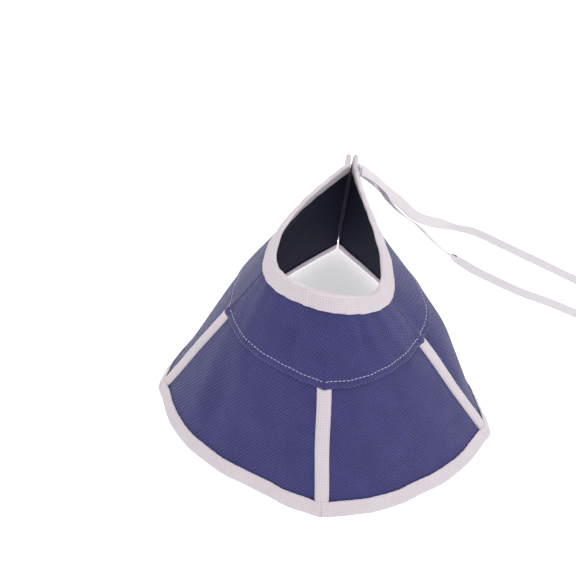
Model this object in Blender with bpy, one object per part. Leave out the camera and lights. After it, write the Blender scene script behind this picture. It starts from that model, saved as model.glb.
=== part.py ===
"""Soft elizabethan collar: a truncated cone of bound nonwoven fabric, stood on its wide hem.

Metres, +Z up, hem on the floor, front of the collar towards -Y, back closure towards +Y.
The cloth folds along four lines, so it is built as five stiff panels joined by cloth hinges.
"""
import bmesh
import bpy
import numpy as np
from mathutils import Vector

# ---- overall shape ----------------------------------------------------------------------
SLANT = 0.158            # neck edge to hem edge, measured up the cloth
FRONT_EXTRA = 0.0045     # more cloth than that up the front stay
HEM_RADIUS = 0.1305      # front part of the hem, a circular arc
HEM_CENTRE_X = 0.0011
HEM_CENTRE_Y = -0.0148
HEM_WRAP_LEFT = 78.0     # degrees of that arc from the front stay to each side stay
HEM_WRAP_RIGHT = 70.5
HEM_BACK_Y = 0.1352      # where the two back walls meet at the hem
HEM_BACK_ANGLE = 45.8    # degrees between each back wall and the closure plane
HEM_BACK_FULLNESS = 0.616
NECK_RADIUS = 0.0378     # front part of the neck, also an arc
NECK_CENTRE_X = -0.0091
NECK_CENTRE_Y = -0.0252
NECK_FRONT = -2.0        # degrees, where the front stay's line meets the neck
NECK_FRONT_FLAT = 0.0036     # how far the neck's front is flattened inward
NECK_WRAP_LEFT = 81.2
NECK_WRAP_RIGHT = 76.5
NECK_BACK_Y = 0.0721
NECK_BACK_ANGLE_LEFT = 28.3
NECK_BACK_ANGLE_RIGHT = 3.0
NECK_START_FULLNESS = 0.817
NECK_END_FULLNESS = 1.400
CLOSURE_X = 0.0036       # plane in which the two flaps meet

# ---- cloth, tape and stays --------------------------------------------------------------
FABRIC = 0.0010
TAPE = 0.0008
GAP = 0.0003
LAYER_GAP = 0.0005           # air between the skirt and the loose yoke over it
BINDING_WIDTH = 0.0115
YOKE_HEIGHT_LEFT = 0.098     # folded lower edge of the yoke above the hem, up the cloth
YOKE_HEIGHT_FRONT = 0.093
YOKE_HEIGHT_RIGHT = 0.103
STITCH_INSET = 0.005         # stitching above the yoke's folded edge
STITCH_END = 0.002
THREAD = 0.0007
CHANNEL_WIDTH = 0.010
CHANNEL_LIP = 0.0014
STAY_WIDTH = 0.0060
STAY_THICKNESS = 0.0012
STAY_INSET = 0.0030          # stay short of its channel's ends
BACK_STAY_AT = 0.79          # share of the back wall from side stay to closure
BACK_FOLD_AT = 0.395
FRONT_FOLD_AT = 0.5
FOLD_GAP = 0.0005            # cloth left out at each folding line
FOLD_OUT = 0.0034            # folding line outside the middle of the cloth
FLAP = 0.012                 # width of the closure flaps
STRIP = 0.0012               # hook and loop strips
STRIP_WIDTH = 0.0090
STRIP_EDGE = 0.0010         # strip in from the flap's cut edge
STRIP_INSET = 0.0030        # strip clear of the bindings
STATION = 0.0120
BEND = 0.0020                # reach of the sharp turn from wall to flap

# ---- ties -------------------------------------------------------------------------------
TIE_WIDTH = 0.0095
TIE_THICK = 0.0012
TACK = (0.0008, 0.0018, 0.0080)
TACK_AT = (0.0876, 0.1262)   # across and up the flap

NAVY, NAVY_DARK = (0.062, 0.058, 0.216), (0.035, 0.033, 0.120)
WHITE, THREAD_WHITE = (0.78, 0.70, 0.76), (0.85, 0.82, 0.90)
CLEAR_PLASTIC, HOOK_WHITE = (0.72, 0.74, 0.76), (0.80, 0.80, 0.80)

for old in list(bpy.data.objects):
    bpy.data.objects.remove(old, do_unlink=True)


def arc(cx, cy, radius, start, end):
    a = np.radians(np.linspace(start, end, 121))
    return np.column_stack([cx + radius * np.sin(a), cy - radius * np.cos(a)])


def curve(a, dir_a, b, dir_b, grip_a, grip_b):
    """Smooth plan curve from a to b with given end directions."""
    t = np.linspace(0, 1, 161)[:, None]
    far = np.linalg.norm(b - a)
    return ((2 * t**3 - 3 * t**2 + 1) * a + (t**3 - 2 * t**2 + t) * dir_a * far * grip_a
            + (3 * t**2 - 2 * t**3) * b + (t**3 - t**2) * dir_b * far * grip_b)


def heading(degrees):
    return np.array([np.sin(np.radians(degrees)), np.cos(np.radians(degrees))])


def evenly(points, count):
    run = np.r_[0, np.cumsum(np.linalg.norm(np.diff(points, axis=0), axis=1))]
    at = np.linspace(0, run[-1], count)
    return np.column_stack([np.interp(at, run, points[:, k]) for k in (0, 1)]), run[-1]


def make_side(sign):
    """Hem and neck lines of one half in plan, matched ruling by ruling, with hem girth."""
    hem_wrap = HEM_WRAP_LEFT if sign < 0 else HEM_WRAP_RIGHT
    neck_wrap = NECK_WRAP_LEFT if sign < 0 else NECK_WRAP_RIGHT
    neck_angle = NECK_BACK_ANGLE_LEFT if sign < 0 else NECK_BACK_ANGLE_RIGHT
    beside = CLOSURE_X + sign * (GAP / 2 + STRIP + GAP + FABRIC / 2)
    hem = arc(HEM_CENTRE_X, HEM_CENTRE_Y, HEM_RADIUS, 0, sign * hem_wrap)
    neck = arc(NECK_CENTRE_X, NECK_CENTRE_Y, NECK_RADIUS, NECK_FRONT, sign * neck_wrap)
    neck[:, 1] += NECK_FRONT_FLAT * np.cos(np.linspace(0, np.pi / 2, len(neck))) ** 2
    hem_end = np.array([beside, HEM_BACK_Y])
    neck_end = np.array([beside, NECK_BACK_Y])
    turn = np.array([sign, 1.0])
    hem_back = curve(hem[-1], heading(90 - hem_wrap) * turn, hem_end,
                     heading(HEM_BACK_ANGLE) * -turn * (1, -1), HEM_BACK_FULLNESS,
                     HEM_BACK_FULLNESS)
    neck_back = curve(neck[-1], heading(90 - neck_wrap) * turn, neck_end,
                      heading(neck_angle) * -turn * (1, -1), NECK_START_FULLNESS,
                      NECK_END_FULLNESS)
    rear = np.array([[0, 0], [0, FLAP]])
    hems, necks, girth, marks = [], [], [], [0.0]
    for h, n, count in ((hem, neck, 61), (hem_back, neck_back, 81),
                        (hem_end + rear, neck_end + rear, 13)):
        h, length = evenly(h, count)
        n, _ = evenly(n, count)
        keep = slice(0, None) if not hems else slice(1, None)
        hems.append(h[keep])
        necks.append(n[keep])
        girth.append((marks[-1] + np.linspace(0, length, count))[keep])
        marks.append(marks[-1] + length)
    return np.vstack(hems), np.vstack(necks), np.concatenate(girth), marks


LEFT, RIGHT = make_side(-1), make_side(1)


def on_side(s):
    hem, neck, girth, _ = LEFT if s < 0 else RIGHT
    at = abs(s)
    return (np.array([np.interp(at, girth, hem[:, k]) for k in (0, 1)]),
            np.array([np.interp(at, girth, neck[:, k]) for k in (0, 1)]))


def middle(s, v):
    """Point in the middle of the cloth, s along the hem and v up the slant."""
    hem, neck = on_side(s)
    lean = neck - hem
    side = (LEFT if s < 0 else RIGHT)[3][1]
    slant = SLANT + FRONT_EXTRA * np.cos(np.pi / 2 * min(abs(s) / side, 1.0)) ** 2
    rise = np.sqrt(slant**2 - lean @ lean)
    return np.array([*(hem + lean * v / SLANT), rise * v / SLANT])


def skin(s, v, d):
    """Point d outside the middle of the cloth, shifted level so the hem stays flat."""
    step = BEND
    along = middle(s + step, v) - middle(s - step, v)
    up = middle(s, v + step) - middle(s, v - step)
    out = np.cross(along, up)
    out /= np.linalg.norm(out)
    level = np.array([out[0], out[1], 0.0])
    return middle(s, v) + level * d / (level @ level)


def squeeze(s, v):
    """How much shorter a step along the cloth is at height v than at the hem."""
    step = BEND
    return np.linalg.norm(middle(s + step, v) - middle(s - step, v)) / (2 * step)


def make_material(name, colour, rough):
    mat = bpy.data.materials.new(name)
    mat.use_nodes = True
    shader = mat.node_tree.nodes["Principled BSDF"]
    shader.inputs["Base Color"].default_value = (*colour, 1)
    shader.inputs["Roughness"].default_value = rough
    return mat


MATERIAL = {
    "skirt": (NAVY, 0.75), "yoke": (NAVY, 0.72), "neck_binding": (WHITE, 0.7),
    "hem_binding": (WHITE, 0.7), "channel": (WHITE, 0.7), "stay": (CLEAR_PLASTIC, 0.4),
    "yoke_stitch": (THREAD_WHITE, 0.6), "loop_strip": (NAVY_DARK, 0.9),
    "hook_strip": (HOOK_WHITE, 0.5), "tie": (WHITE, 0.75), "tie_tack": (THREAD_WHITE, 0.6),
}


def finish(name, kind, bm):
    bmesh.ops.recalc_face_normals(bm, faces=bm.faces)
    mesh = bpy.data.meshes.new(name)
    bm.to_mesh(mesh)
    bm.free()
    colour, rough = MATERIAL[kind]
    mesh.materials.append(make_material(name, colour, rough))
    ob = bpy.data.objects.new(name, mesh)
    bpy.context.scene.collection.objects.link(ob)
    return ob


def loft(name, kind, rings, smooth=True):
    """One closed solid from a row of equal rings of points."""
    bm = bmesh.new()
    rows = [[bm.verts.new(p) for p in ring] for ring in rings]
    for a, b in zip(rows, rows[1:]):
        for k in range(len(a)):
            j = (k + 1) % len(a)
            bm.faces.new((a[k], a[j], b[j], b[k])).smooth = smooth
    bm.faces.new(rows[0])
    bm.faces.new(rows[-1])
    return finish(name, kind, bm)


def shared_stations(sign, side):
    """Places along one half at which every band has a cross-section."""
    marks = side[3]
    even = np.linspace(0, marks[2] - 2 * BEND, int(marks[2] / STATION) + 1)
    turn = marks[2] + BEND * np.array([-1, 0, 1, 2])
    return sign * np.r_[even, turn, marks[3]]


GRID = np.unique(np.r_[shared_stations(-1, LEFT), shared_stations(1, RIGHT)])


def stations(s0, s1):
    low, high = min(s0, s1), max(s0, s1)
    inner = GRID[(GRID > low + BEND / 4) & (GRID < high - BEND / 4)]
    row = np.r_[low, inner, high]
    return row if s1 > s0 else row[::-1]


LEVELS = np.linspace(0, SLANT, 9)


def rectangle(v0, v1, d0, d1, clear=0.0, fold=None):
    """Cross-section of a flat band, with shared levels above clear and below a fold."""
    lower = [] if fold is None else [*LEVELS[(LEVELS > v0 + BEND) & (LEVELS < LOWEST_FOLD)], fold]
    upper = LEVELS[(LEVELS > max(v0, clear) + BEND) & (LEVELS < v1 - BEND)]
    heights = [v0, *lower, *upper, v1]
    return [(v, d0) for v in heights] + [(v, d1) for v in heights[::-1]]


def hook_shape(edge, width, inner, outer, sign):
    """Cross-section of a folded binding around an edge: sign is +1 for the top edge."""
    def at(depth):
        return edge - sign * depth
    return [(at(0), inner - TAPE), (at(width), inner - TAPE), (at(width), inner),
            (at(TAPE), inner), (at(TAPE), outer), (at(width), outer),
            (at(width), outer + TAPE), (at(0), outer + TAPE)]


def yoke_height(s):
    """Height of the yoke's folded edge, lower at the front than at the side stays."""
    side = YOKE_HEIGHT_LEFT if s < 0 else YOKE_HEIGHT_RIGHT
    reach = min(abs(s) / (LEFT if s < 0 else RIGHT)[3][1], 1.0)
    return YOKE_HEIGHT_FRONT + (side - YOKE_HEIGHT_FRONT) * reach**2 * (3 - 2 * reach)


def band(name, kind, s0, s1, section):
    return loft(name, kind, [[skin(s, v, d) for v, d in section(s)] for s in stations(s0, s1)])


FACE = FABRIC / 2
YOKE_IN = FACE + LAYER_GAP
YOKE_OUT = YOKE_IN + FABRIC
HIGHEST_FOLD = max(YOKE_HEIGHT_LEFT, YOKE_HEIGHT_FRONT, YOKE_HEIGHT_RIGHT)
LOWEST_FOLD = min(YOKE_HEIGHT_LEFT, YOKE_HEIGHT_FRONT, YOKE_HEIGHT_RIGHT) - BEND
CLOTH_TOP = SLANT - TAPE - GAP
CLOTH_FOOT = TAPE + GAP


def cloth_panel(tag, s0, s1):
    """Skirt, yoke, both bindings and the stitch row of one stiff panel."""
    band("skirt_" + tag, "skirt", s0, s1,
         lambda s: rectangle(CLOTH_FOOT, CLOTH_TOP, -FACE, FACE, HIGHEST_FOLD,
                             yoke_height(s)))
    band("yoke_" + tag, "yoke", s0, s1,
         lambda s: rectangle(yoke_height(s), CLOTH_TOP, YOKE_IN, YOKE_OUT, HIGHEST_FOLD))
    band("neck_binding_" + tag, "neck_binding", s0, s1,
         lambda s: hook_shape(SLANT, BINDING_WIDTH, -FACE - GAP, YOKE_OUT + GAP, 1))
    band("hem_binding_" + tag, "hem_binding", s0, s1,
         lambda s: hook_shape(0, BINDING_WIDTH, -FACE - GAP, FACE + GAP, -1))
    inset = np.sign(s1 - s0) * STITCH_END
    band("yoke_stitch_" + tag, "yoke_stitch", s0 + inset, s1 - inset,
         lambda s: rectangle(yoke_height(s) + STITCH_INSET - THREAD / 2,
                             yoke_height(s) + STITCH_INSET + THREAD / 2,
                             YOKE_OUT + GAP, YOKE_OUT + GAP + THREAD / 2, SLANT))


def stay_and_channel(tag, s_mid):
    """Flat stay in its tape tunnel, from the hem binding up to the yoke's folded edge."""
    foot = BINDING_WIDTH + GAP
    top = yoke_height(s_mid) - GAP
    rise = FACE + GAP
    tunnel = rise + STAY_THICKNESS + 2 * GAP
    half, wide = CHANNEL_WIDTH / 2, STAY_WIDTH / 2 + GAP
    lip = CHANNEL_LIP / 2
    outline = [(-half, rise), (-half, rise + lip), (-wide - lip, tunnel), (-wide, tunnel + lip),
               (0, tunnel + lip * 1.5), (wide, tunnel + lip), (wide + lip, tunnel),
               (half, rise + lip), (half, rise), (wide, rise), (wide, tunnel - lip),
               (0, tunnel), (-wide, tunnel - lip), (-wide, rise)]
    core = [(-STAY_WIDTH / 2, rise + GAP), (0, rise + GAP), (STAY_WIDTH / 2, rise + GAP),
            (STAY_WIDTH / 2, rise + GAP + STAY_THICKNESS - lip),
            (0, rise + GAP + STAY_THICKNESS - lip), (-STAY_WIDTH / 2, rise + GAP
                                                     + STAY_THICKNESS - lip)]
    for name, kind, shape, low, high in (("channel_", "channel", outline, foot, top),
                                         ("stay_", "stay", core, foot + STAY_INSET, top - STAY_INSET)):
        rings = [[skin(s_mid + a / squeeze(s_mid, v), v, d) for a, d in shape]
                 for v in np.linspace(low, high, 7)]
        loft(name + tag, kind, rings)


def girth_at(sign, share):
    marks = (LEFT if sign < 0 else RIGHT)[3]
    return marks[1] + share * (marks[2] - marks[1])


HALF_GAP = FOLD_GAP / 2
for sign, tag in ((-1, "left"), (1, "right")):
    marks = (LEFT if sign < 0 else RIGHT)[3]
    front_fold = sign * FRONT_FOLD_AT * marks[1]
    back_fold = sign * girth_at(sign, BACK_FOLD_AT)
    cloth_panel(tag, front_fold + sign * HALF_GAP, back_fold - sign * HALF_GAP)
    cloth_panel("back_" + tag, back_fold + sign * HALF_GAP, sign * marks[3])
    stay_and_channel(tag, sign * marks[1])
    stay_and_channel("back_" + tag, sign * girth_at(sign, BACK_STAY_AT))
    strip = "loop_strip" if sign < 0 else "hook_strip"
    band(strip, strip, sign * (marks[3] - STRIP_WIDTH - STRIP_EDGE),
         sign * (marks[3] - STRIP_EDGE),
         lambda s: rectangle(BINDING_WIDTH + STRIP_INSET, SLANT - BINDING_WIDTH - STRIP_INSET,
                             -FACE - GAP - STRIP, -FACE - GAP))
front_edges = [sign * (FRONT_FOLD_AT * side[3][1] - HALF_GAP)
               for sign, side in ((-1, LEFT), (1, RIGHT))]
cloth_panel("front", *front_edges)
stay_and_channel("front", 0.0)


def tie(name, points, shares, faces):
    """Flat tape swept along a smooth route; faces give the way it faces at each share."""
    rings = []
    count = len(points)
    for i, p in enumerate(points):
        ahead = (points[min(i + 1, count - 1)] - points[max(i - 1, 0)]).normalized()
        face = Vector([np.interp(i / count, shares, [f[k] for f in faces]) for k in range(3)])
        wide = ahead.cross(face).normalized() * TIE_WIDTH / 2
        thick = wide.cross(ahead).normalized() * TIE_THICK / 2
        corners = [p + wide + thick, p - wide + thick, p - wide - thick, p + wide - thick]
        rings.append([Vector((c.x, c.y, max(c.z, 0.0))) for c in corners])
    return loft(name, "tie", rings)


def smooth_route(knots, pitch):
    """Points at equal pitch on a rounded curve through the knots."""
    knots = [Vector(k) for k in knots]
    ends = [knots[0] * 2 - knots[1]] + knots + [knots[-1] * 2 - knots[-2]]
    fine = []
    for a, b, c, d in zip(ends, ends[1:], ends[2:], ends[3:]):
        for k in range(12):
            t = k / 12
            fine.append(0.5 * (2 * b + (c - a) * t + (2 * a - 5 * b + 4 * c - d) * t * t
                               + (3 * b - a - 3 * c + d) * t**3))
    fine.append(knots[-1])
    run = np.r_[0, np.cumsum([(q - p).length for p, q in zip(fine, fine[1:])])]
    at = np.linspace(0, run[-1], int(run[-1] / pitch) + 2)
    return [Vector([np.interp(x, run, [p[k] for p in fine]) for k in range(3)]) for x in at]


# Routes of the ties: down from the right flap, then along the floor to their cut ends
TIE_REST = TIE_THICK / 2 + 0.0002
SEAM_X = CLOSURE_X + GAP / 2 + STRIP + GAP + FABRIC / 2 + YOKE_OUT + GAP + TIE_THICK / 2
TIE_STACK = SEAM_X + TIE_THICK + GAP * 3
UPPER_ROUTE = [
    (SEAM_X, 0.0867, 0.1262), (SEAM_X, 0.0907, 0.1256), (0.0121, 0.0962, 0.1205),
    (0.0239, 0.1027, 0.1075),
    (0.0350, 0.1117, 0.0905), (0.0499, 0.1226, 0.0700), (0.0653, 0.1322, 0.0490),
    (0.0823, 0.1527, 0.0260), (0.0976, 0.1697, 0.0095), (0.1121, 0.1760, TIE_REST),
    (0.1276, 0.1724, TIE_REST), (0.1539, 0.1571, TIE_REST), (0.1795, 0.1416, TIE_REST),
    (0.2046, 0.1261, TIE_REST), (0.2291, 0.1117, TIE_REST), (0.2501, 0.1002, TIE_REST)]
LOWER_ROUTE = [
    (TIE_STACK, 0.0867, 0.1262), (TIE_STACK, 0.0910, 0.1252), (0.0187, 0.0940, 0.1190),
    (0.0301, 0.0967, 0.1040), (0.0391, 0.1042, 0.0850), (0.0516, 0.1127, 0.0660),
    (0.0667, 0.1220, 0.0480), (0.0811, 0.1302, 0.0270), (0.0941, 0.1377, 0.0090),
    (0.1051, 0.1372, TIE_REST), (0.1119, 0.1321, TIE_REST), (0.1245, 0.1220, TIE_REST),
    (0.1373, 0.1142, TIE_REST), (0.1622, 0.1002, TIE_REST), (0.1879, 0.0897, TIE_REST),
    (0.2114, 0.0781, TIE_REST), (0.2301, 0.0687, TIE_REST), (0.2451, 0.0607, TIE_REST)]
# Ways a tie faces, and shares of its length: sewn to, hanging from, hanging to, lying from
SEWN, HANGING, EDGE_ON, LYING = (1, 0, 0), (0.2, -0.6, 0.75), (0.55, 0.59, 0.6), (0, 0, 1)
UPPER_TURNS = (0.045, 0.11, 0.47, 0.54)
LOWER_TURNS = (0.045, 0.11, 0.485, 0.54)
for name, route, hang, turns in (("tie_upper", UPPER_ROUTE, HANGING, UPPER_TURNS),
                                 ("tie_lower", LOWER_ROUTE, EDGE_ON, LOWER_TURNS)):
    tie(name, smooth_route(route, TIE_WIDTH / 2), turns, (SEWN, hang, hang, LYING))

bm = bmesh.new()
bmesh.ops.create_cube(bm, size=1.0)
bmesh.ops.scale(bm, vec=TACK, verts=bm.verts)
tack = finish("tie_tack", "tie_tack", bm)
tack.location = (TIE_STACK + TIE_THICK / 2 + GAP * 2 + TACK[0] / 2, *TACK_AT)


def hinge_frame(name, sign, s):
    """Empty on a folding line of the cloth, its Z axis along the line."""
    foot, head = (Vector(skin(s, v, FOLD_OUT)) for v in (0.0, SLANT))
    pivot = bpy.data.objects.new(name, None)
    bpy.context.scene.collection.objects.link(pivot)
    pivot.location = foot
    pivot.rotation_mode = "QUATERNION"
    pivot.rotation_quaternion = ((head - foot) * -sign).to_track_quat("Z", "Y")
    return pivot


BACK_ONLY = {"left": ("loop_strip",),
             "right": ("hook_strip", "tie_upper", "tie_lower", "tie_tack")}
for sign, tag in ((-1, "left"), (1, "right")):
    side_fold = hinge_frame("fold_" + tag, sign, sign * FRONT_FOLD_AT * LEFT[3][1] if sign < 0
                            else FRONT_FOLD_AT * RIGHT[3][1])
    back_fold = hinge_frame("fold_back_" + tag, sign, sign * girth_at(sign, BACK_FOLD_AT))
    bpy.context.view_layer.update()
    back_fold.parent = side_fold
    back_fold.matrix_parent_inverse = side_fold.matrix_world.inverted()
    bpy.context.view_layer.update()
    for ob in bpy.data.objects:
        if ob.type != "MESH":
            continue
        if ob.name.endswith("back_" + tag) or ob.name in BACK_ONLY[tag]:
            pivot = back_fold
        elif ob.name.endswith("_" + tag) and "back_" not in ob.name:
            pivot = side_fold
        else:
            continue
        ob.parent = pivot
        ob.matrix_parent_inverse = pivot.matrix_world.inverted()
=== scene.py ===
"""Looks of the soft elizabethan collar: bound nonwoven cloth, stiffened tapes and two ties."""
import math

import bmesh
import bpy
import numpy as np
from mathutils import Matrix, Vector


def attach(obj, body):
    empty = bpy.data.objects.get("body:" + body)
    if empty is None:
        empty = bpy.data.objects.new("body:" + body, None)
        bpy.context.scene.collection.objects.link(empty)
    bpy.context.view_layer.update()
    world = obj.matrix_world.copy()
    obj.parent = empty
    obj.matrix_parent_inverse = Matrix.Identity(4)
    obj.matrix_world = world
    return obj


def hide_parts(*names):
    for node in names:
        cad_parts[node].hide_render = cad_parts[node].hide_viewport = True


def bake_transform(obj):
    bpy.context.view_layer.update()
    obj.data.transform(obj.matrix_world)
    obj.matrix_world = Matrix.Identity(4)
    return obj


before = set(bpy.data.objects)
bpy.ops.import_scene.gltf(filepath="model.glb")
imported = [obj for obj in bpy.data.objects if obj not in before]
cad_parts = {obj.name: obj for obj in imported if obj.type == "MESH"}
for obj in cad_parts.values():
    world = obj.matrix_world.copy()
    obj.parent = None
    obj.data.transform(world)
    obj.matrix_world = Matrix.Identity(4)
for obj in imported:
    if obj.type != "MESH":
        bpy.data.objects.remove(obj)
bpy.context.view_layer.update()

# ---- the collar's pattern, the same as the frame's ---------------------------------------
SLANT, FRONT_EXTRA = 0.158, 0.0045
HEM_CENTRE, HEM_RADIUS = (0.0011, -0.0148), 0.1305
HEM_WRAP = {-1: 78.0, 1: 70.5}
HEM_BACK_Y, HEM_BACK_ANGLE, HEM_BACK_FULLNESS = 0.1352, 45.8, 0.616
NECK_CENTRE, NECK_RADIUS = (-0.0091, -0.0252), 0.0378
NECK_FRONT, NECK_FRONT_FLAT = -2.0, 0.0036
NECK_WRAP = {-1: 81.2, 1: 76.5}
NECK_BACK_Y = 0.0721
NECK_BACK_ANGLE = {-1: 28.3, 1: 3.0}
NECK_FULLNESS = (0.817, 1.400)
CLOSURE_X = 0.0036
FLAP = 0.012
FLAP_STAND_OFF = 0.00215      # middle of each flap's cloth from the closure plane
BINDING_WIDTH = 0.0115
YOKE_HEIGHT = {-1: 0.098, 0: 0.093, 1: 0.103}
STITCH_INSET = 0.005
EDGE_STITCH = 0.0014          # stitching in from a binding's inner edge
CHANNEL_WIDTH = 0.0102
BACK_STAY_AT = 0.79
BACK_FOLD_AT = 0.395
FRONT_FOLD_AT = 0.5

# ---- layers of the cloth, outward from the middle of the skirt ---------------------------
SKIRT = 0.00040               # half its thickness
SKIRT_EDGE = 0.0016           # cloth's cut edges, in from the edges of the pattern
YOKE = (0.00065, 0.00150)
TAPE_SKIN = 0.00055
STITCH_PITCH = 0.0030
THREAD = 0.00024              # radius
NECK_BULGE = 0.0003           # neck binding's outer face over the yoke
HEM_BULGE = 0.0004            # hem binding's outer face over the skirt
HEM_LIFT = 0.0017             # hem binding's rise over a channel
YOKE_LIFT, YOKE_LIFT_REACH = 0.0016, 0.010    # the yoke's rise over a channel's end
SKIRT_ROWS, YOKE_ROWS, EDGE_POINTS = 60, 26, 5
CLOTH_PITCH, TAPE_PITCH, TIE_PITCH = 0.0022, 0.0014, 0.0022
SIDES = {-1: "left", 1: "right"}


def arc(centre, radius, start, end):
    a = np.radians(np.linspace(start, end, 900))
    return np.column_stack([centre[0] + radius * np.sin(a), centre[1] - radius * np.cos(a)])


def heading(degrees):
    return np.array([math.sin(math.radians(degrees)), math.cos(math.radians(degrees))])


def curve(a, dir_a, b, dir_b, grips):
    t = np.linspace(0, 1, 1200)[:, None]
    far = np.linalg.norm(b - a)
    return ((2 * t**3 - 3 * t**2 + 1) * a + (t**3 - 2 * t**2 + t) * dir_a * far * grips[0]
            + (3 * t**2 - 2 * t**3) * b + (t**3 - t**2) * dir_b * far * grips[1])


def evenly(points):
    run = np.r_[0, np.cumsum(np.linalg.norm(np.diff(points, axis=0), axis=1))]
    at = np.linspace(0, run[-1], 800)
    return np.column_stack([np.interp(at, run, points[:, k]) for k in (0, 1)]), run[-1]


def half_pattern(sign):
    """Hem and neck lines of one half, ruling by ruling, with the girth along the hem."""
    beside = CLOSURE_X + sign * FLAP_STAND_OFF
    turn = np.array([sign, 1.0])
    hem = arc(HEM_CENTRE, HEM_RADIUS, 0, sign * HEM_WRAP[sign])
    neck = arc(NECK_CENTRE, NECK_RADIUS, NECK_FRONT, sign * NECK_WRAP[sign])
    neck[:, 1] += NECK_FRONT_FLAT * np.cos(np.linspace(0, np.pi / 2, len(neck))) ** 2
    hem_end, neck_end = np.array([beside, HEM_BACK_Y]), np.array([beside, NECK_BACK_Y])
    hem_back = curve(hem[-1], heading(90 - HEM_WRAP[sign]) * turn, hem_end,
                     heading(HEM_BACK_ANGLE) * (-sign, 1), (HEM_BACK_FULLNESS,) * 2)
    neck_back = curve(neck[-1], heading(90 - NECK_WRAP[sign]) * turn, neck_end,
                      heading(NECK_BACK_ANGLE[sign]) * (-sign, 1), NECK_FULLNESS)
    rear = np.array([[0, 0], [0, FLAP]])
    hems, necks, girth, marks = [], [], [], [0.0]
    for h, n in ((hem, neck), (hem_back, neck_back), (hem_end + rear, neck_end + rear)):
        (h, length), (n, _) = evenly(h), evenly(n)
        first = 0 if not hems else 1
        hems.append(h[first:])
        necks.append(n[first:])
        girth.append((marks[-1] + np.linspace(0, length, len(h)))[first:])
        marks.append(marks[-1] + length)
    return np.vstack(hems), np.vstack(necks), np.concatenate(girth), marks


LEFT, RIGHT = half_pattern(-1), half_pattern(1)
GIRTH = np.r_[-LEFT[2][:0:-1], RIGHT[2]]
HEM_LINE = np.vstack([LEFT[0][:0:-1], RIGHT[0]])
NECK_LINE = np.vstack([LEFT[1][:0:-1], RIGHT[1]])
MARKS = {-1: LEFT[3], 1: RIGHT[3]}


def girth_at(sign, share):
    """Hem girth of a line part way along a back wall."""
    return sign * (MARKS[sign][1] + share * (MARKS[sign][2] - MARKS[sign][1]))


STAYS = {"front": 0.0, "left": -MARKS[-1][1], "right": MARKS[1][1],
         "back_left": girth_at(-1, BACK_STAY_AT), "back_right": girth_at(1, BACK_STAY_AT)}
FOLDS = {"left": -FRONT_FOLD_AT * MARKS[-1][1], "right": FRONT_FOLD_AT * MARKS[1][1],
         "back_left": girth_at(-1, BACK_FOLD_AT), "back_right": girth_at(1, BACK_FOLD_AT)}
ENDS = {-1: -MARKS[-1][3], 1: MARKS[1][3]}


def side_share(s):
    """Share of the way from the front stay to a side stay, and 1 behind it."""
    return np.minimum(np.abs(s) / np.where(s < 0, MARKS[-1][1], MARKS[1][1]), 1.0)


def yoke_height(s):
    """Height of the yoke's folded edge up the slant."""
    s = np.asarray(s, float)
    side = np.where(s < 0, YOKE_HEIGHT[-1], YOKE_HEIGHT[1])
    reach = side_share(s)
    return YOKE_HEIGHT[0] + (side - YOKE_HEIGHT[0]) * reach**2 * (3 - 2 * reach)


def middle(s, v):
    """Middle of the skirt's cloth at girth s and height v up the slant."""
    s, v = np.broadcast_arrays(np.asarray(s, float), np.asarray(v, float))
    hem = np.stack([np.interp(s, GIRTH, HEM_LINE[:, k]) for k in (0, 1)], -1)
    neck = np.stack([np.interp(s, GIRTH, NECK_LINE[:, k]) for k in (0, 1)], -1)
    lean = neck - hem
    slant = SLANT + FRONT_EXTRA * np.cos(np.pi / 2 * side_share(s)) ** 2
    rise = np.sqrt(slant**2 - (lean**2).sum(-1))
    share = v / SLANT
    return np.concatenate([hem + lean * share[..., None], (rise * share)[..., None]], -1)


def across(s, v):
    """Length of a step along the cloth at height v, against the same step at the hem."""
    step = 0.002
    return np.linalg.norm(middle(s + step, v) - middle(s - step, v), axis=-1) / (2 * step)


def cloth_run(s, v):
    """Distance along the cloth from the front stay at height v, without a break at a stay."""
    near = np.clip(s, STAYS["left"], STAYS["right"])
    return near * across(near, v) + (s - near) * across(s, v)


def bump(x, width):
    return np.exp(-(x / width) ** 2)


def smooth(x):
    x = np.clip(x, 0, 1)
    return x * x * (3 - 2 * x)


# each gore: its two edges, how far its hem falls in, the skew of that, and its fullness
GORES = [(STAYS["back_left"], STAYS["left"], 0.0020, 1.0, 0.0070),
         (STAYS["left"], 0.0, 0.0064, 1.7, 0.0), (0.0, STAYS["right"], 0.0030, 1.0, 0.0),
         (STAYS["right"], STAYS["back_right"], 0.0036, 0.6, 0.0110)]
# soft hollows pressed in the cloth: girth, height, depth and their two reaches
HOLLOWS = [(-0.052, 0.124, 0.0016, 0.009, 0.016), (0.060, 0.126, 0.0012, 0.008, 0.014),
           (-0.112, 0.052, 0.0022, 0.016, 0.024), (-0.022, 0.045, 0.0012, 0.007, 0.030)]


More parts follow.
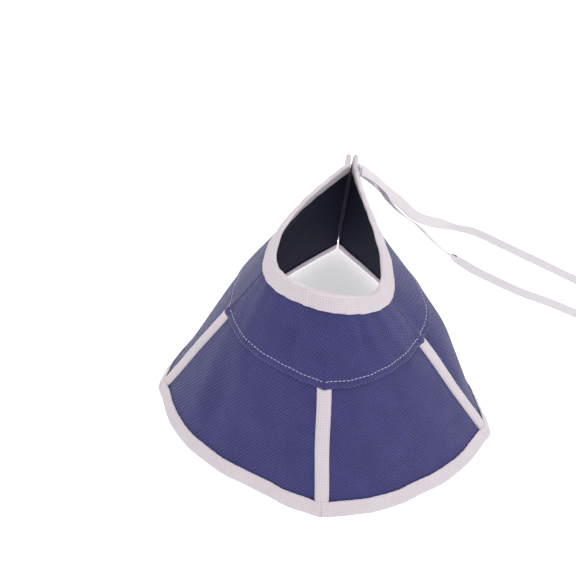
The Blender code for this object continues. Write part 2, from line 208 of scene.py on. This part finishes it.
def ease(s, v):
    """How far the soft cloth stands off its stiff pattern: slack gores and small waves."""
    s, v = np.broadcast_arrays(np.asarray(s, float), np.asarray(v, float))
    out = np.zeros(s.shape)
    free = np.ones(s.shape)
    for at in STAYS.values():
        free *= 1 - bump(s - at, 0.009)
    for start, end, slack, skew, fullness in GORES:
        share = np.clip((s - start) / (end - start), 0, 1) ** skew
        out += free * fullness * np.sin(np.pi * share) ** 2 * np.sin(np.pi * v / SLANT) ** 2
        out -= slack * np.sin(np.pi * share) ** 2 * np.clip(1 - v / SLANT, 0, 1) ** 0.9
    calm = np.ones(s.shape)
    for at in (*STAYS.values(), ENDS[-1], ENDS[1]):
        calm *= 1 - 0.9 * bump(s - at, 0.016)
    low = smooth(1 - v / 0.07)
    out += calm * low * 0.0003 * np.sin(s * 2 * np.pi / 0.047 + 1.3 * np.sin(s * 31 + v * 22))
    out += calm * 0.0002 * np.sin(s * 2 * np.pi / 0.033 + v * 75 + 2.0 * np.sin(s * 17))
    for at, height, depth, reach, rise in HOLLOWS:
        out -= free * depth * bump(s - at, reach) * bump(v - height, rise)
    return out


def skin(s, v, d, soft=True):
    """Point d outside the middle of the skirt's cloth, shifted level as in the frame."""
    s, v, d = np.broadcast_arrays(*(np.asarray(x, float) for x in (s, v, d)))
    step = 0.0015
    along = middle(s + step, v) - middle(s - step, v)
    up = middle(s, v + step) - middle(s, v - step)
    out = np.cross(along, up)
    out /= np.linalg.norm(out, axis=-1)[..., None]
    level = out * (1, 1, 0)
    shift = d + (ease(s, v) if soft else 0)
    return middle(s, v) + level * (shift / (level**2).sum(-1))[..., None]


# ---- mesh making --------------------------------------------------------------------------
def new_piece(name, verts, faces, uvs, material, smooth_faces=True):
    mesh = bpy.data.meshes.new(name)
    mesh.from_pydata([tuple(p) for p in verts], [], faces)
    layer = mesh.uv_layers.new(name="cloth")
    loops = np.empty(len(mesh.loops), int)
    mesh.loops.foreach_get("vertex_index", loops)
    layer.data.foreach_set("uv", np.asarray(uvs, float)[loops].ravel())
    mesh.materials.append(material)
    mesh.polygons.foreach_set("use_smooth", [smooth_faces] * len(mesh.polygons))
    bm = bmesh.new()
    bm.from_mesh(mesh)
    bmesh.ops.recalc_face_normals(bm, faces=bm.faces)
    bm.to_mesh(mesh)
    bm.free()
    ob = bpy.data.objects.new(name, mesh)
    bpy.context.scene.collection.objects.link(ob)
    return ob


def tube_faces(rows, ring):
    """Quads of a tube of rings and its two end faces."""
    faces = []
    for i in range(rows - 1):
        for k in range(ring):
            j = (k + 1) % ring
            faces.append((i * ring + k, i * ring + j, (i + 1) * ring + j, (i + 1) * ring + k))
    faces.append(tuple(range(ring)))
    faces.append(tuple((rows - 1) * ring + k for k in range(ring)))
    return faces


def sweep_along(name, stations, section, material, soft=True):
    """Closed piece whose (height, depth) outline is carried along the girth."""
    rings = np.array([section(s) for s in stations])
    s = np.broadcast_to(np.asarray(stations)[:, None], rings.shape[:2])
    points = skin(s, rings[..., 0], rings[..., 1], soft)
    u = cloth_run(s, rings[..., 0])
    uvs = np.stack([u, rings[..., 0]], -1)
    rows, ring = rings.shape[:2]
    return new_piece(name, points.reshape(-1, 3), tube_faces(rows, ring),
                     uvs.reshape(-1, 2), material)


def round_end(v, d0, d1, toward):
    """Half-round edge of a sheet between depths d0 and d1."""
    r = (d1 - d0) / 2
    a = np.linspace(-np.pi / 2, np.pi / 2, EDGE_POINTS + 2)[1:-1]
    return [(v + toward * r * math.cos(x), (d0 + d1) / 2 + r * math.sin(x)) for x in a]


def slab(v0, v1, d0, d1, rows):
    """Outline of a sheet from v0 up to v1 with rounded edges."""
    heights = np.linspace(v0, v1, rows)
    return ([(v, d0) for v in heights] + round_end(v1, d0, d1, 1)
            + [(v, d1) for v in heights[::-1]] + round_end(v0, d0, d1, -1)[::-1])


def fold_around(edge, sign, depth_in, depth_out, width, proud):
    """Outline of bias tape folded around an edge; sign is +1 for the top edge."""
    rim = TAPE_SKIN
    mid, half = (depth_in + depth_out) / 2, (depth_out - depth_in) / 2 + rim

    def at(depth):
        return edge - sign * depth

    outer = [(at(half - half * math.sin(a)), mid + half * math.cos(a))
             for a in np.linspace(0, np.pi, 11)]
    reach = np.linspace(0.12, 1, 9)
    side_in = [(at(half + (width - half) * t), mid - half - proud * t**3) for t in reach]
    side_out = [(at(half + (width - half) * t), mid + half + proud * t**3) for t in reach]
    lip_in = [(at(width + 0.0003), mid - half + rim / 2), (at(width - 0.0002), depth_in)]
    lip_out = [(at(width - 0.0002), depth_out), (at(width + 0.0003), mid + half - rim / 2)]
    inner = [(at(half + 0.0004), depth_in), (at(half), mid), (at(half + 0.0004), depth_out)]
    return side_out[::-1] + outer + side_in + lip_in + inner + lip_out


# ---- shader expressions --------------------------------------------------------------------
class Sum:
    """A material's socket that takes part in Python arithmetic."""

    def __init__(self, tree, socket):
        self.tree, self.socket = tree, socket

    def make(self, kind, settings=None, values=None, output=0):
        """Add a node of a kind with its settings, then its sockets' values or links."""
        node = self.tree.nodes.new(kind)
        for key, value in (settings or {}).items():
            setattr(node, key, value)
        for key, value in (values or {}).items():
            if isinstance(value, Sum):
                self.tree.links.new(value.socket, node.inputs[key])
            else:
                node.inputs[key].default_value = value
        return Sum(self.tree, node.outputs[output])

    def math(self, operation, *values):
        return self.make("ShaderNodeMath", {"operation": operation}, dict(enumerate(values)))

    def __add__(self, other):
        return self.math("ADD", self, other)

    def __sub__(self, other):
        return self.math("SUBTRACT", self, other)

    def __rsub__(self, other):
        return self.math("SUBTRACT", other, self)

    def __mul__(self, other):
        return self.math("MULTIPLY", self, other)

    __radd__, __rmul__ = __add__, __mul__

    def cos(self):
        return self.math("COSINE", self)

    def clamp(self):
        return self.math("MINIMUM", self.math("MAXIMUM", self, 0.0), 1.0)

    def blend(self, dark, light):
        """Colour from dark to light as this goes from 0 to 1."""
        return self.make("ShaderNodeMix", {"data_type": "RGBA"},
                         {0: self, 6: dark, 7: light}, 2)

    def speckle(self, scale, detail=2.0, stretch=(1, 1, 1)):
        """Noise over a position, 0 to 1."""
        place = self.make("ShaderNodeVectorMath", {"operation": "MULTIPLY"},
                          {0: self, 1: stretch})
        return self.make("ShaderNodeTexNoise", {}, {"Vector": place, "Scale": scale,
                                                    "Detail": detail})


def finish_material(name, paint):
    """Material whose paint function gives its links and its constant sockets."""
    mat = bpy.data.materials.new(name)
    mat.use_nodes = True
    tree = mat.node_tree
    shader = tree.nodes["Principled BSDF"]
    start = Sum(tree, None)
    place = start.make("ShaderNodeUVMap", {"uv_map": "cloth"})
    apart = tree.nodes.new("ShaderNodeSeparateXYZ")
    tree.links.new(place.socket, apart.inputs[0])
    x, y = Sum(tree, apart.outputs[0]), Sum(tree, apart.outputs[1])
    for key, value in paint(place, x, y).items():
        if isinstance(value, Sum):
            tree.links.new(value.socket, shader.inputs[key])
        else:
            shader.inputs[key].default_value = value
    return mat


def colour(r, g, b):
    """Linear colour from everyday 0 to 255 values."""
    def straight(c):
        c /= 255
        return c / 12.92 if c < 0.04045 else ((c + 0.055) / 1.055) ** 2.4
    return (*(straight(c) for c in (r, g, b)), 1.0)


DOT_PITCH, DOT_ROW = 0.0028, 0.00256


def embossed(x, y, turn=0.0):
    """Staggered bonding dots of spunbond cloth, 1 on a dot and 0 between dots."""
    c, s = math.cos(turn), math.sin(turn)
    across_dots = (x * c + y * s) * (2 * math.pi / DOT_PITCH)
    up_dots = (y * c - x * s) * (2 * math.pi / DOT_ROW)
    return across_dots.cos() * up_dots.cos() * 0.5 + 0.5


def nonwoven(dark, light, depth, turn=0.0, sheen=0.25, gloss=0.62):
    def paint(place, x, y):
        dots = embossed(x, y, turn)
        fibre = place.speckle(1500, 3.0, (1, 0.45, 1))
        cloud = place.speckle(38, 3.0)
        tone = (dots * 0.62 + fibre * 0.30 + cloud * 0.50 - 0.20).clamp()
        height = dots * -0.75 + fibre * 0.35
        return {"Base Color": tone.blend(dark, light),
                "Roughness": gloss + 0.14 * fibre - dots * 0.10,
                "Normal": height.make("ShaderNodeBump", {}, {"Height": height,
                                      "Strength": depth, "Distance": 0.0006}),
                "Sheen Weight": sheen, "Sheen Roughness": 0.45,
                "Specular IOR Level": 0.35}
    return paint


def thread_paint(place, x, y):
    twist = (x * 9000 + y * 9000).cos() * 0.5 + 0.5
    return {"Base Color": twist.blend(colour(196, 190, 214), colour(240, 236, 246)),
            "Roughness": 0.45 + 0.1 * twist, "Sheen Weight": 0.2}


def pile_paint(place, x, y):
    tuft = place.speckle(2600, 2.0)
    return {"Base Color": tuft.blend(colour(30, 28, 58), colour(74, 70, 124)),
            "Roughness": 0.9 - 0.1 * tuft, "Sheen Weight": 0.5,
            "Normal": tuft.make("ShaderNodeBump", {}, {"Height": tuft, "Strength": 0.8,
                                                       "Distance": 0.001})}


HOOK_PITCH = 0.0012


def hook_paint(place, x, y):
    turn = 2 * math.pi / HOOK_PITCH
    rows = (x * turn).cos() * (y * turn).cos() * 0.5 + 0.5
    return {"Base Color": rows.blend(colour(26, 25, 44), colour(52, 50, 82)),
            "Roughness": 0.4 + 0.2 * rows,
            "Normal": rows.make("ShaderNodeBump", {}, {"Height": rows, "Strength": 0.7,
                                                       "Distance": 0.001})}


def stay_paint(place, x, y):
    haze = place.speckle(300, 2.0)
    return {"Base Color": haze.blend(colour(205, 212, 216), colour(226, 230, 232)),
            "Roughness": 0.28 + 0.1 * haze}


CLOTH = finish_material("navy_nonwoven", nonwoven(colour(36, 34, 86), colour(80, 77, 148), 0.9))
# painted shade: the same cloth, darker and without sheen, on the skirt's inner face, standing in
# for the shade inside the collar
INNER_CLOTH_PAINTED_SHADE = finish_material("navy_inner_painted_shade",
                              nonwoven(colour(5, 6, 38), colour(14, 15, 66), 0.5, 0.0, 0.0, 0.82))
YOKE_CLOTH = finish_material("navy_nonwoven_yoke",
                             nonwoven(colour(36, 34, 86), colour(80, 77, 148), 0.9, 0.3))
TAPE = finish_material("white_bias_tape", nonwoven(colour(216, 204, 213), colour(243, 234, 240),
                                                   0.30, math.pi / 4, 0.15, 0.66))
RIBBON = finish_material("white_tie_tape", nonwoven(colour(236, 228, 234), colour(250, 245, 248),
                                                    0.28, 0.0, 0.2, 0.68))
THREAD_WHITE = finish_material("white_thread", thread_paint)
PILE = finish_material("loop_pile", pile_paint)
HOOKS = finish_material("hook_tape", hook_paint)

# ---- camera, floor and light ---------------------------------------------------------------
CAMERA_AT = Vector((-0.0364, -0.6326, 0.7008))
CAMERA_PITCH = math.radians(44.49)      # below level
CAMERA_ROLL = math.radians(5.06)
CAMERA_LENS = 73.85


def place_camera():
    data = bpy.data.cameras.new("view")
    data.lens, data.sensor_width = CAMERA_LENS, 36.0
    data.clip_start, data.clip_end = 0.02, 20.0
    camera = bpy.data.objects.new("view", data)
    bpy.context.scene.collection.objects.link(camera)
    ahead = Vector((0, math.cos(CAMERA_PITCH), -math.sin(CAMERA_PITCH)))
    level = Vector((1, 0, 0))
    rise = level.cross(ahead)
    right = level * math.cos(CAMERA_ROLL) + rise * math.sin(CAMERA_ROLL)
    up = rise * math.cos(CAMERA_ROLL) - level * math.sin(CAMERA_ROLL)
    turn = Matrix((right, up, -ahead)).transposed().to_4x4()
    camera.matrix_world = Matrix.Translation(CAMERA_AT) @ turn
    bpy.context.scene.camera = camera


def area_light(name, at, aim, size, watts, tint=(1, 1, 1)):
    data = bpy.data.lights.new(name, "AREA")
    data.size, data.energy, data.color = size, watts, tint
    lamp = bpy.data.objects.new(name, data)
    bpy.context.scene.collection.objects.link(lamp)
    lamp.location = at
    lamp.rotation_euler = (Vector(aim) - Vector(at)).to_track_quat("-Z", "Y").to_euler()


def studio():
    mesh = bpy.data.meshes.new("floor")
    far = 6.0
    mesh.from_pydata([(-far, -far, 0), (far, -far, 0), (far, far, 0), (-far, far, 0)], [],
                     [(0, 1, 2, 3)])
    floor = bpy.data.objects.new("floor", mesh)
    bpy.context.scene.collection.objects.link(floor)
    floor.location.z = -0.0003
    mat = bpy.data.materials.new("pale_floor")
    mat.use_nodes = True
    shader = mat.node_tree.nodes["Principled BSDF"]
    shader.inputs["Base Color"].default_value = (0.93, 0.93, 0.94, 1)
    shader.inputs["Roughness"].default_value = 0.9
    shader.inputs["Emission Color"].default_value = (1, 1, 1, 1)
    shader.inputs["Emission Strength"].default_value = 0.55
    mesh.materials.append(mat)
    world = bpy.data.worlds.new("studio")
    world.use_nodes = True
    world.node_tree.nodes["Background"].inputs[0].default_value = (1, 1, 1, 1)
    world.node_tree.nodes["Background"].inputs[1].default_value = 0.40
    bpy.context.scene.world = world
    area_light("overhead", (0.1, 0.25, 1.5), (0, 0, 0), 1.2, 10)
    area_light("front_fill", (-0.9, -1.1, 1.0), (0, 0, 0.05), 0.9, 3.0)
    area_light("side_fill", (1.2, -0.5, 0.8), (0, 0, 0.05), 0.8, 3.0)
    bpy.context.scene.view_settings.view_transform = "Standard"


# ---- ties ----------------------------------------------------------------------------------
TIE_WIDTH, TIE_THICK, TIE_ROUND = 0.0095, 0.0011, 1.035
TIE_REST = 0.0008             # middle of a tie lying on the floor
SEAM_X = CLOSURE_X + 0.00525  # upper tie's middle where it is sewn on, then the lower's
TIE_STACK = CLOSURE_X + 0.00735
UPPER_ROUTE = [
    (SEAM_X, 0.0867, 0.1262), (SEAM_X, 0.0907, 0.1256), (0.0121, 0.0962, 0.1205),
    (0.0239, 0.1027, 0.1075), (0.0350, 0.1117, 0.0905), (0.0499, 0.1226, 0.0700),
    (0.0653, 0.1322, 0.0490), (0.0823, 0.1527, 0.0260), (0.0976, 0.1697, 0.0095),
    (0.1121, 0.1760, TIE_REST), (0.1276, 0.1724, TIE_REST), (0.1539, 0.1571, TIE_REST),
    (0.1795, 0.1416, TIE_REST), (0.2046, 0.1261, TIE_REST), (0.2291, 0.1117, TIE_REST),
    (0.2501, 0.1002, TIE_REST)]
LOWER_ROUTE = [
    (TIE_STACK, 0.0867, 0.1262), (TIE_STACK, 0.0910, 0.1252), (0.0187, 0.0940, 0.1190),
    (0.0301, 0.0967, 0.1040), (0.0391, 0.1042, 0.0850), (0.0516, 0.1127, 0.0660),
    (0.0667, 0.1220, 0.0480), (0.0811, 0.1302, 0.0270), (0.0941, 0.1377, 0.0090),
    (0.1051, 0.1372, TIE_REST), (0.1119, 0.1321, TIE_REST), (0.1245, 0.1220, TIE_REST),
    (0.1373, 0.1142, TIE_REST), (0.1622, 0.1002, TIE_REST), (0.1879, 0.0897, TIE_REST),
    (0.2114, 0.0781, TIE_REST), (0.2301, 0.0687, TIE_REST), (0.2451, 0.0607, TIE_REST)]
# which way each tie faces along its length
SEWN, HANGING, EDGE_ON, LYING = (1, 0, 0), (0.2, -0.6, 0.75), (0.55, 0.59, 0.6), (0, 0, 1)
UPPER_TURNS = {0.045: SEWN, 0.11: HANGING, 0.47: HANGING, 0.54: LYING}
LOWER_TURNS = {0.045: SEWN, 0.11: EDGE_ON, 0.485: EDGE_ON, 0.54: LYING}


def rounded_route(knots, pitch):
    """Points at equal pitch on a smooth curve through the knots."""
    knots = np.array(knots)
    ends = np.vstack([2 * knots[0] - knots[1], knots, 2 * knots[-1] - knots[-2]])
    t = np.linspace(0, 1, 40, endpoint=False)[:, None]
    fine = [0.5 * (2 * b + (c - a) * t + (2 * a - 5 * b + 4 * c - d) * t**2
                   + (3 * b - a - 3 * c + d) * t**3)
            for a, b, c, d in zip(ends, ends[1:], ends[2:], ends[3:])]
    fine = np.vstack([*fine, knots[-1:]])
    run = np.r_[0, np.cumsum(np.linalg.norm(np.diff(fine, axis=0), axis=1))]
    at = np.linspace(0, run[-1], int(run[-1] / pitch) + 2)
    return np.column_stack([np.interp(at, run, fine[:, k]) for k in range(3)]), run[-1]


def tie(name, node, knots, turns):
    path, length = rounded_route(knots, TIE_PITCH)
    ahead = np.gradient(path, axis=0)
    ahead /= np.linalg.norm(ahead, axis=1)[:, None]
    share = np.linspace(0, 1, len(path))
    face = np.column_stack([np.interp(share, list(turns), [f[k] for f in turns.values()])
                            for k in range(3)])
    wide = np.cross(ahead, face)
    wide /= np.linalg.norm(wide, axis=1)[:, None]
    thick = np.cross(wide, ahead)
    cup = np.linspace(-1, 1, 9)
    top = [(c, 1.0) for c in cup]
    bottom = [(c, -1.0) for c in cup[::-1]]
    outline = np.array(top + [(TIE_ROUND, 0.0)] + bottom + [(-TIE_ROUND, 0.0)])
    outline[:, 1] *= 1 - 0.25 * outline[:, 0] ** 2
    half = np.array([TIE_WIDTH / 2 / TIE_ROUND, TIE_THICK / 2])
    ring = outline * half
    points = (path[:, None] + wide[:, None] * ring[None, :, :1]
              + thick[:, None] * ring[None, :, 1:])
    points[..., 2] = np.maximum(points[..., 2], 0.0001)
    run = np.linspace(0, length, len(path))
    uvs = np.stack(np.broadcast_arrays(ring[None, :, 0], run[:, None]), -1)
    ob = new_piece(name, points.reshape(-1, 3), tube_faces(len(path), len(ring)),
                   uvs.reshape(-1, 2), RIBBON)
    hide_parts(node)
    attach(ob, "back_right")
    return ob


# ---- cloth ---------------------------------------------------------------------------------
FRONT_BAND, BACK_BAND = 0.020, 0.026    # half-width of the band of cloth on each side of a folding line


def fold_zone(fold, half):
    """Points before and after a folding line, square to it in the cloth."""
    s = FOLDS[fold]
    foot, head = skin(s, 0.0, 0.0, False), skin(s, SLANT, 0.0, False)
    line = (head - foot) / np.linalg.norm(head - foot)
    beside = skin(s * 1.01, 0.05, 0.0, False) - skin(s * 0.99, 0.05, 0.0, False)
    beside -= line * (beside @ line)
    beside /= np.linalg.norm(beside)
    centre = (foot + head) / 2
    return tuple(centre - beside * half), tuple(centre + beside * half)


SPANS = []
for side_sign, side_name in SIDES.items():
    SPANS.append((side_name, "front", side_name, 0.0, STAYS[side_name], FRONT_BAND))
    SPANS.append(("back_" + side_name, side_name, "back_" + side_name, STAYS[side_name],
                  ENDS[side_sign], BACK_BAND))


def across_fold(piece, span):
    name, before, after, _, _, half = span
    start, end = fold_zone(name, half)
    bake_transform(piece)


def places(s0, s1, pitch):
    """Even places along the girth, closer around the turn into a closure flap."""
    even = np.linspace(s0, s1, int(abs(s1 - s0) / pitch) + 2)
    turns = [sign * MARKS[sign][2] for sign in SIDES]
    extra = [t + k * 0.0007 for t in turns for k in range(-4, 5)]
    inside = [x for x in extra if min(s0, s1) + 1e-4 < x < max(s0, s1) - 1e-4]
    row = np.unique(np.r_[even, inside].round(6))
    return row if s1 > s0 else row[::-1]


def tuck(s):
    """Push of the layers over the channels, 1 above a channel's middle."""
    return sum(bump(s - at, 0.0065) for at in STAYS.values())


def skirt_outline(s):
    return slab(SKIRT_EDGE, SLANT - SKIRT_EDGE, -SKIRT, SKIRT, SKIRT_ROWS)


def yoke_outline(s):
    low = float(yoke_height(s))
    heights = np.linspace(low, SLANT - SKIRT_EDGE, YOKE_ROWS)
    lift = YOKE_LIFT * tuck(s) * np.exp(-((heights - low) / YOKE_LIFT_REACH) ** 2)
    roll = 0.00035 * bump(heights - low - 0.0012, 0.0018)
    outline = slab(low, SLANT - SKIRT_EDGE, *YOKE, YOKE_ROWS)
    turn = YOKE_ROWS + EDGE_POINTS
    inner = [(v, d + k) for (v, d), k in zip(outline[:YOKE_ROWS], lift)]
    outer = [(v, d + k + r) for (v, d), k, r in
             zip(outline[turn:turn + YOKE_ROWS], lift[::-1], roll[::-1])]
    edge = [(v, d + lift[0]) for v, d in outline[turn + YOKE_ROWS:]]
    return inner + outline[YOKE_ROWS:turn] + outer + edge


def pucker(s, phase):
    return 0.00007 * math.sin(s * 2 * math.pi / 0.0061 + phase + 1.5 * math.sin(s * 90)) \
        + 0.00006 * math.sin(s * 2 * math.pi / 0.0137 + 2 * phase)


def neck_outline(s):
    swell = pucker(s, 0.7)
    return fold_around(SLANT, 1, -SKIRT - 0.0002, YOKE[1] + NECK_BULGE + swell,
                       BINDING_WIDTH, 0.0003)


def hem_outline(s):
    swell = pucker(s, 2.1) + HEM_LIFT * tuck(s)
    return fold_around(0.0, -1, -SKIRT - 0.0002, SKIRT + HEM_BULGE + swell,
                       BINDING_WIDTH, 0.0003)


def flat_size(s0, s1, v0, v1):
    """Width, length and area of a gore cut flat between two lines and two heights."""
    s = np.linspace(s0, s1, 60)
    wide = [np.linalg.norm(np.diff(skin(s, v, 0.0), axis=0), axis=1).sum()
            for v in np.linspace(v0, v1, 12)]
    area = float(np.mean(wide)) * (v1 - v0)
    width, length = max(wide) * 1.02, (v1 - v0) * 1.06
    return (width, length), min(area, width * length)


def paint_inside_shade(piece):
    """Give the inner side of the skirt, the first rows of its outline, a darker copy of the cloth
    as painted shade inside the collar.
    """
    piece.data.materials.append(INNER_CLOTH_PAINTED_SHADE)
    ring = len(skirt_outline(0.0))
    for face in piece.data.polygons:
        if all(corner % ring < SKIRT_ROWS for corner in face.vertices):
            face.material_index = 1


def cloth_span(span):
    name, before, after, s0, s1, _ = span
    grid = places(s0, s1, CLOTH_PITCH)
    fine = places(s0, s1, TAPE_PITCH)
    skirt = sweep_along("skirt_cloth_" + name, grid, skirt_outline, CLOTH)
    paint_inside_shade(skirt)
    yoke = sweep_along("yoke_cloth_" + name, grid, yoke_outline, YOKE_CLOTH)
    neck = sweep_along("neck_tape_" + name, fine, neck_outline, TAPE)
    hem = sweep_along("hem_tape_" + name, fine, hem_outline, TAPE)
    rows = stitch_rows(name, s0, s1)
    for piece, slot_name, node in ((skirt, "skirt", "skirt_"), (yoke, "yoke", "yoke_"),
                                   (neck, "binding", "neck_binding_"),
                                   (hem, "binding", "hem_binding_")):
        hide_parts(node + before, node + after)
        across_fold(piece, span)
    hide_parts("yoke_stitch_" + before, "yoke_stitch_" + after)
    across_fold(rows, span)
    top = SLANT - SKIRT_EDGE
    flat, area = flat_size(s0, s1, SKIRT_EDGE, top)
    "stay_" + after
    flat, area = flat_size(s0, s1, float(yoke_height((s0 + s1) / 2)), top)


# ---- stitches ------------------------------------------------------------------------------
def stitch_mesh(name, ends):
    """Rounded stitches, each between a start and an end point that dip into the cloth."""
    verts, faces, uvs = [], [], []
    sides = 6
    turn = np.linspace(0, 2 * np.pi, sides, endpoint=False)
    for a, b, out in ends:
        along = b - a
        length = np.linalg.norm(along)
        along /= length
        beside = np.cross(along, out)
        beside /= np.linalg.norm(beside)
        base = len(verts)
        for t, fat, lift in ((0.0, 0.35, -1.1), (0.10, 0.9, -0.2), (0.35, 1.0, 0.25),
                             (0.65, 1.0, 0.25), (0.90, 0.9, -0.2), (1.0, 0.35, -1.1)):
            centre = a + along * length * t + out * THREAD * lift
            for x in turn:
                verts.append(centre + THREAD * fat * (beside * math.cos(x) + out * math.sin(x)))
                uvs.append((x * THREAD, length * t))
        faces += [tuple(base + i for i in f) for f in tube_faces(6, sides)]
    return new_piece(name, verts, faces, uvs, THREAD_WHITE)


def seam(s0, s1, height, depth, pitch=STITCH_PITCH, margin=0.001):
    """Stitches along the girth at a height; height and depth are functions of the place."""
    fine = np.linspace(s0, s1, 1600)
    line = skin(fine, height(fine), depth(fine))
    above = skin(fine, height(fine), depth(fine) + 0.001)
    run = np.r_[0, np.cumsum(np.linalg.norm(np.diff(line, axis=0), axis=1))]
    count = int((run[-1] - 2 * margin) / pitch)
    found = []
    for k in range(count):
        at = margin + k * pitch
        i, j = (int(np.searchsorted(run, x)) for x in (at, at + pitch * 0.80))
        out = above[i] - line[i]
        found.append((line[i], line[min(j, len(line) - 1)], out / np.linalg.norm(out)))
    return found


def stitch_rows(name, s0, s1):
    """The yoke's top-stitching and the edge stitching of both bindings."""
    def on_yoke(s):
        return YOKE[1] + YOKE_LIFT * tuck(s) * math.exp(-(STITCH_INSET / YOKE_LIFT_REACH) ** 2)

    def on_hem(s):
        return SKIRT + HEM_BULGE + HEM_LIFT * tuck(s)

    rows = seam(s0, s1, lambda s: yoke_height(s) + STITCH_INSET, on_yoke)
    rows += seam(s0, s1, lambda s: 0 * s + BINDING_WIDTH - EDGE_STITCH, on_hem)
    rows += seam(s0, s1, lambda s: 0 * s + SLANT - BINDING_WIDTH + EDGE_STITCH,
                 lambda s: 0 * s + YOKE[1] + NECK_BULGE)
    return stitch_mesh("yoke_stitches_" + name, rows)


# ---- channels, stays and closure -----------------------------------------------------------
def sweep_up(name, s_mid, heights, section, material):
    """Closed piece whose (across, depth) outline is carried up the slant at one place."""
    rings = np.array([section(v) for v in heights])
    v = np.broadcast_to(np.asarray(heights)[:, None], rings.shape[:2])
    s = s_mid + rings[..., 0] / across(s_mid, v)
    points = skin(s, v, rings[..., 1])
    uvs = np.stack([rings[..., 0], v], -1)
    rows, ring = rings.shape[:2]
    return new_piece(name, points.reshape(-1, 3), tube_faces(rows, ring),
                     uvs.reshape(-1, 2), material)


CHANNEL_TUCK = 0.006          # length of a channel under the yoke
CHANNEL_RISE = 0.0021         # its tape over the skirt
CHANNEL_FLOOR = 0.003         # its lower end above the hem line


def channel(tag):
    """Tape tunnel over a stay: flat stitched edges and a padded rounded middle."""
    s_mid = STAYS[tag]
    top = float(yoke_height(s_mid)) + CHANNEL_TUCK
    half = CHANNEL_WIDTH / 2
    spread = np.linspace(-1, 1, 21)

    def outline(v):
        tucked = smooth((top - v) / 0.009) * smooth((v - 0.001) / 0.012)
        waves = 1 + 0.05 * math.sin(v * 330) + 0.04 * math.sin(v * 810)
        crown = CHANNEL_RISE * (0.45 + 0.55 * tucked) * waves
        wander = 0.0003 * math.sin(v * 95 + s_mid * 40)
        arch = crown * np.clip(1 - np.abs(spread) ** 3.2, 0, 1)
        outer = [(half * x + wander, SKIRT + 0.0005 + h) for x, h in zip(spread, arch)]
        inner = [(half * x * 0.98 + wander, SKIRT + 0.00015 + 0.9 * h)
                 for x, h in zip(spread[::-1], arch[::-1])]
        return outer + inner

    heights = np.linspace(CHANNEL_FLOOR, top, 90)
    piece = sweep_up("channel_tape_" + tag, s_mid, heights, outline, TAPE)
    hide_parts("channel_" + tag)
    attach(piece, tag)
    ends = []
    for edge in (-1, 1):
        offset = edge * (half - 0.0008)
        for v in np.arange(BINDING_WIDTH + 0.001, top - 0.008, STITCH_PITCH):
            line = [skin(s_mid + offset / across(s_mid, x), x, SKIRT + 0.00085)
                    for x in (v, v + STITCH_PITCH * 0.8)]
            up = skin(s_mid, v, 0.002) - skin(s_mid, v, 0.0)
            ends.append((line[0], line[1], up / np.linalg.norm(up)))
    seams = stitch_mesh("channel_stitches_" + tag, ends)
    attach(seams, tag)
    "stay_" + tag


STRIP_EDGES = 0.0088, 0.0008                  # from the end of the flap
STRIP_HEIGHTS = 0.0145, 0.1435
STRIP_DEPTHS = -SKIRT - 0.0015, -SKIRT - 0.0001


def closure_strip(sign, node, material):
    """Hook or loop strip on the inner face of a flap."""
    near, far = (MARKS[sign][3] - edge for edge in STRIP_EDGES)
    row = sign * np.linspace(near, far, 12)
    piece = sweep_along(node + "_pile", row, lambda s: slab(*STRIP_HEIGHTS, *STRIP_DEPTHS, 40),
                        material)
    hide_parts(node)
    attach(piece, "back_" + SIDES[sign])


def dress_nodes():
    """Materials of the frame's own pieces that stay in sight or inside."""
    plastic = finish_material("stay_plastic", stay_paint)
    finishes = {"stay_" + tag: plastic for tag in STAYS}
    finishes["tie_tack"] = THREAD_WHITE
    for name, material in finishes.items():
        node = bpy.data.objects[name]
        node.data.uv_layers.new(name="cloth")
        for slot in node.material_slots:
            slot.material = material


place_camera()
tie("upper_tie_tape", "tie_upper", UPPER_ROUTE, UPPER_TURNS)
tie("lower_tie_tape", "tie_lower", LOWER_ROUTE, LOWER_TURNS)
studio()
for one_span in SPANS:
    cloth_span(one_span)
for stay_tag in STAYS:
    channel(stay_tag)
closure_strip(-1, "loop_strip", PILE)
closure_strip(1, "hook_strip", HOOKS)
dress_nodes()
